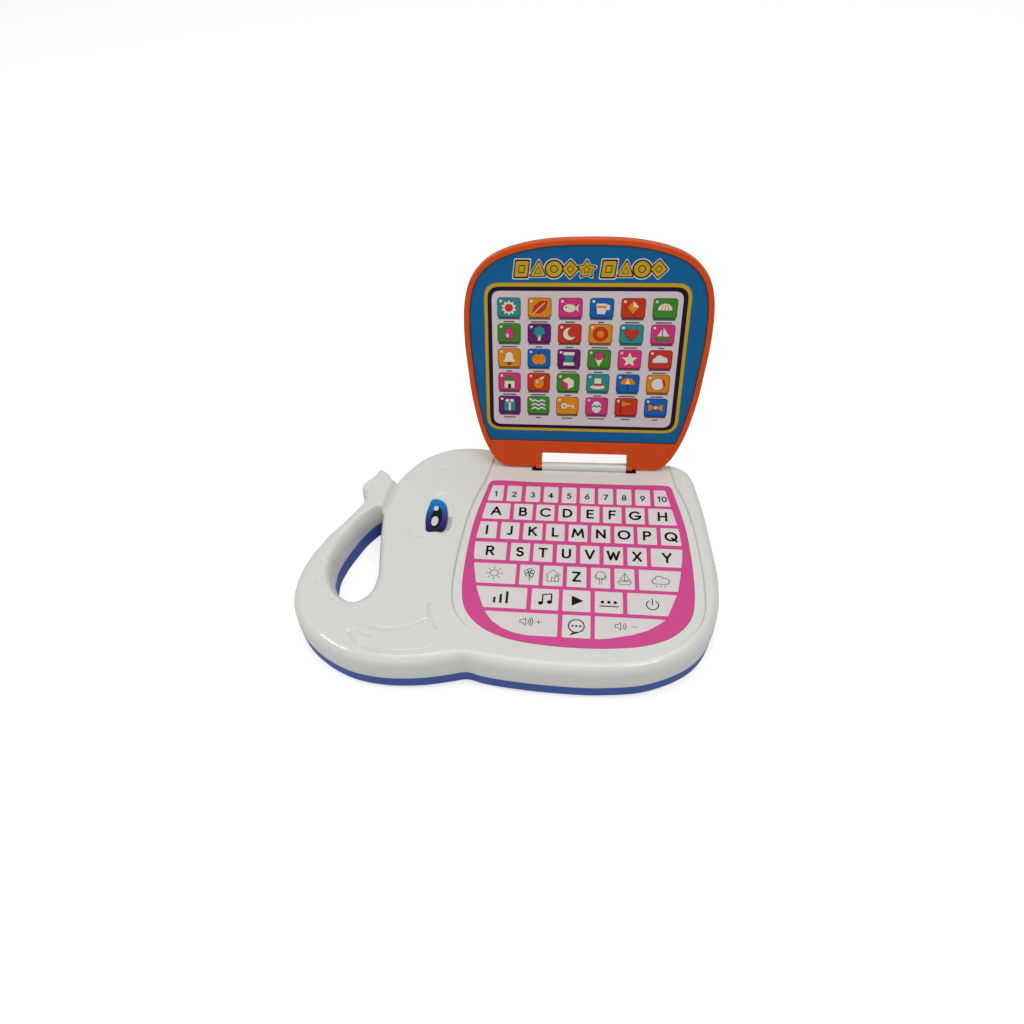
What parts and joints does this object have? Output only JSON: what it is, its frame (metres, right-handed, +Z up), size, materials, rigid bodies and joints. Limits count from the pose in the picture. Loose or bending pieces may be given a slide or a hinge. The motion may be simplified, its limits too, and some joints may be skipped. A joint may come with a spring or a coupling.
{
  "type": "toy laptop computer",
  "caption": "Child's toy laptop with an elephant-shaped carry-handle base, a flat membrane keypad and a hinged orange picture lid",
  "frame": {"origin": "on the flat underside, beneath the middle of the keypad", "axes": "+X to the right of the keypad, +Y from the user towards the hinge, +Z up"},
  "size_m": [0.2492, 0.2002, 0.1727],
  "materials": {
    "white_shell": "moulded, softly glossy",
    "blue_shell": "moulded, softly glossy",
    "eye_print": "printed vinyl",
    "key_print": "printed polyester film",
    "clear_film": "clear polyester",
    "circuit_film": "polyester with silver ink",
    "dark_plastic": "matt",
    "board_green": "solder mask",
    "basket_steel": "zinc plated",
    "magnet": "ferrite and plated cup",
    "paper_cone": "pressed paper",
    "felt": "foam ring",
    "cell_jacket": "plain shrink jacket",
    "contact_metal": "nickel plated",
    "wire_red": "insulation",
    "wire_black": "insulation",
    "orange_shell": "moulded, softly glossy",
    "picture_sheet": "printed film",
    "screw_steel": "zinc plated"
  },
  "bodies": {
    "base": {"top_shell": "white_shell", "bottom_shell": "blue_shell", "eye_sticker": "eye_print", "keypad_overlay": "key_print", "contact_film": "clear_film", "spacer_film": "clear_film", "circuit_film": "circuit_film", "tail_clamp": "dark_plastic", "tail_clamp_screws": "screw_steel", "main_board": "board_green", "board_screws": "screw_steel", "sound_chip": "dark_plastic", "capacitor": "dark_plastic", "small_components": "dark_plastic", "speaker_frame": "basket_steel", "speaker_magnet": "magnet", "speaker_cone": "paper_cone", "speaker_gasket": "felt", "speaker_screws": "screw_steel", "battery_cells": "cell_jacket", "battery_springs": "contact_metal", "battery_plates": "contact_metal", "battery_door": "blue_shell", "battery_door_screw": "screw_steel", "shell_screws": "screw_steel", "battery_wire_red": "wire_red", "battery_wire_black": "wire_black", "speaker_wire_red": "wire_red", "speaker_wire_black": "wire_black", "hinge_pins": "screw_steel"},
    "lid": {"lid_frame": "orange_shell", "lid_cover": "orange_shell", "lid_sheet": "picture_sheet"}
  },
  "joints": [
    {"name": "lid_hinge", "type": "hinge", "parent": "base", "child": "lid", "pos_m": [0.0026, 0.0743, 0.0263], "axis": [1, 0, 0], "range_deg": [-6, 101.9]}
  ]
}
